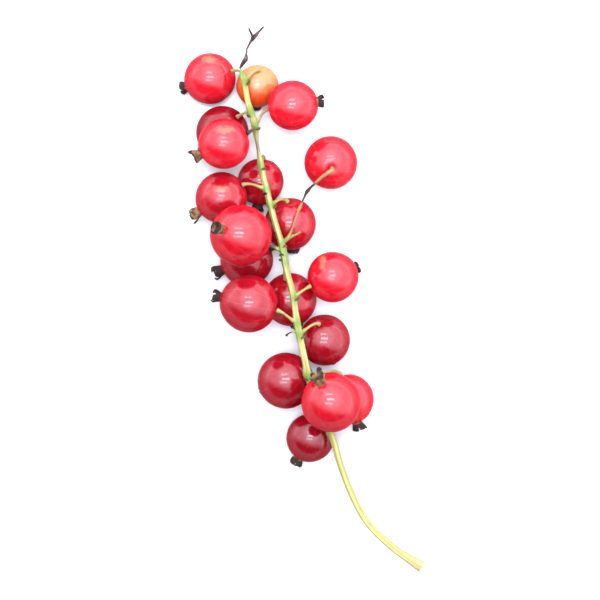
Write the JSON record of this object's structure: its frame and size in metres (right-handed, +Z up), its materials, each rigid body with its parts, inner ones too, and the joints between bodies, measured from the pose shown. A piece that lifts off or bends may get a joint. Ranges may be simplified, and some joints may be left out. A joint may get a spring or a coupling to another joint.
{
  "type": "sprig of redcurrants",
  "caption": "Sprig of redcurrants lying on its side: a thin curved green stalk with glossy round red berries on short stalklets, each ending in a withered brown flower.",
  "frame": {"origin": "middle of the sprig's bounding box in plan, at the height of the floor that it lies on", "axes": "+Y towards the dried tip of the stalk, +X to the right of it seen from above, +Z up from the floor"},
  "size_m": [0.0408, 0.0888, 0.0198],
  "materials": {
    "ripe_skin": "glossy, slightly translucent bright red fruit skin with faint pale veins",
    "dark_skin": "glossy, slightly translucent dark red fruit skin with faint pale veins",
    "unripe_skin": "glossy orange fruit skin, not yet ripe",
    "green_stalk": "fresh yellow-green stalk, satin, with tan stalklets",
    "dry_brown": "withered, papery and matt"
  },
  "bodies": {
    "root": {"stalk": "green_stalk", "dry_tip": "dry_brown", "berry_01": "ripe_skin", "berry_02": "dark_skin", "berry_03": "ripe_skin", "berry_04": "dark_skin", "berry_05": "dark_skin", "berry_06": "dark_skin", "berry_07": "ripe_skin", "berry_08": "dark_skin", "berry_09": "dark_skin", "berry_10": "ripe_skin", "berry_11": "ripe_skin", "berry_12": "ripe_skin", "berry_13": "dark_skin", "berry_14": "dark_skin", "berry_15": "ripe_skin", "berry_16": "dark_skin", "berry_17": "ripe_skin", "berry_18": "unripe_skin", "berry_19": "ripe_skin", "dried_flower_01": "dry_brown", "dried_flower_02": "dry_brown", "dried_flower_03": "dry_brown", "dried_flower_04": "dry_brown", "dried_flower_05": "dry_brown", "dried_flower_06": "dry_brown", "dried_flower_07": "dry_brown", "dried_flower_08": "dry_brown", "dried_flower_09": "dry_brown", "dried_flower_10": "dry_brown", "dried_flower_11": "dry_brown", "dried_flower_12": "dry_brown", "dried_flower_13": "dry_brown", "dried_flower_14": "dry_brown", "dried_flower_15": "dry_brown", "dried_flower_16": "dry_brown", "dried_flower_17": "dry_brown", "dried_flower_18": "dry_brown", "dried_flower_19": "dry_brown"}
  },
  "joints": []
}
